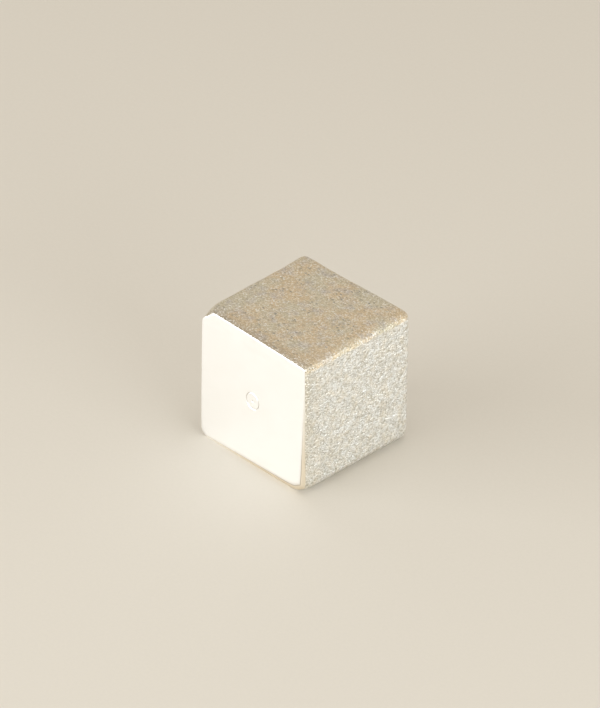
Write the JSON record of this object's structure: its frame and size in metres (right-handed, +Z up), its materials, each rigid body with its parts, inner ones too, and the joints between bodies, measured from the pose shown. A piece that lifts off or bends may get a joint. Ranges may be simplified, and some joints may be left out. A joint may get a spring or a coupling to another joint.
{
  "type": "mirror-faced cast metal cube",
  "caption": "Solid metal cube with rough sand-cast faces, rounded cast edges and one face ground flat, polished to a mirror and struck with a small plain ring.",
  "frame": {"origin": "centre of the base, on the surface that the cube stands on", "axes": "+Z up; -Y out of the mirror-polished face, which is ground 3 degrees out of square and so looks 3 degrees to the left of -Y; +X to the right of someone who looks at that face"},
  "size_m": [0.05, 0.05, 0.05],
  "materials": {
    "cast_metal": "nickel silver, a white brass: bare sand-cast skin on five faces, and one face ground flat and mirror polished"
  },
  "bodies": {
    "root": {"cast_cube": "cast_metal"}
  },
  "joints": []
}
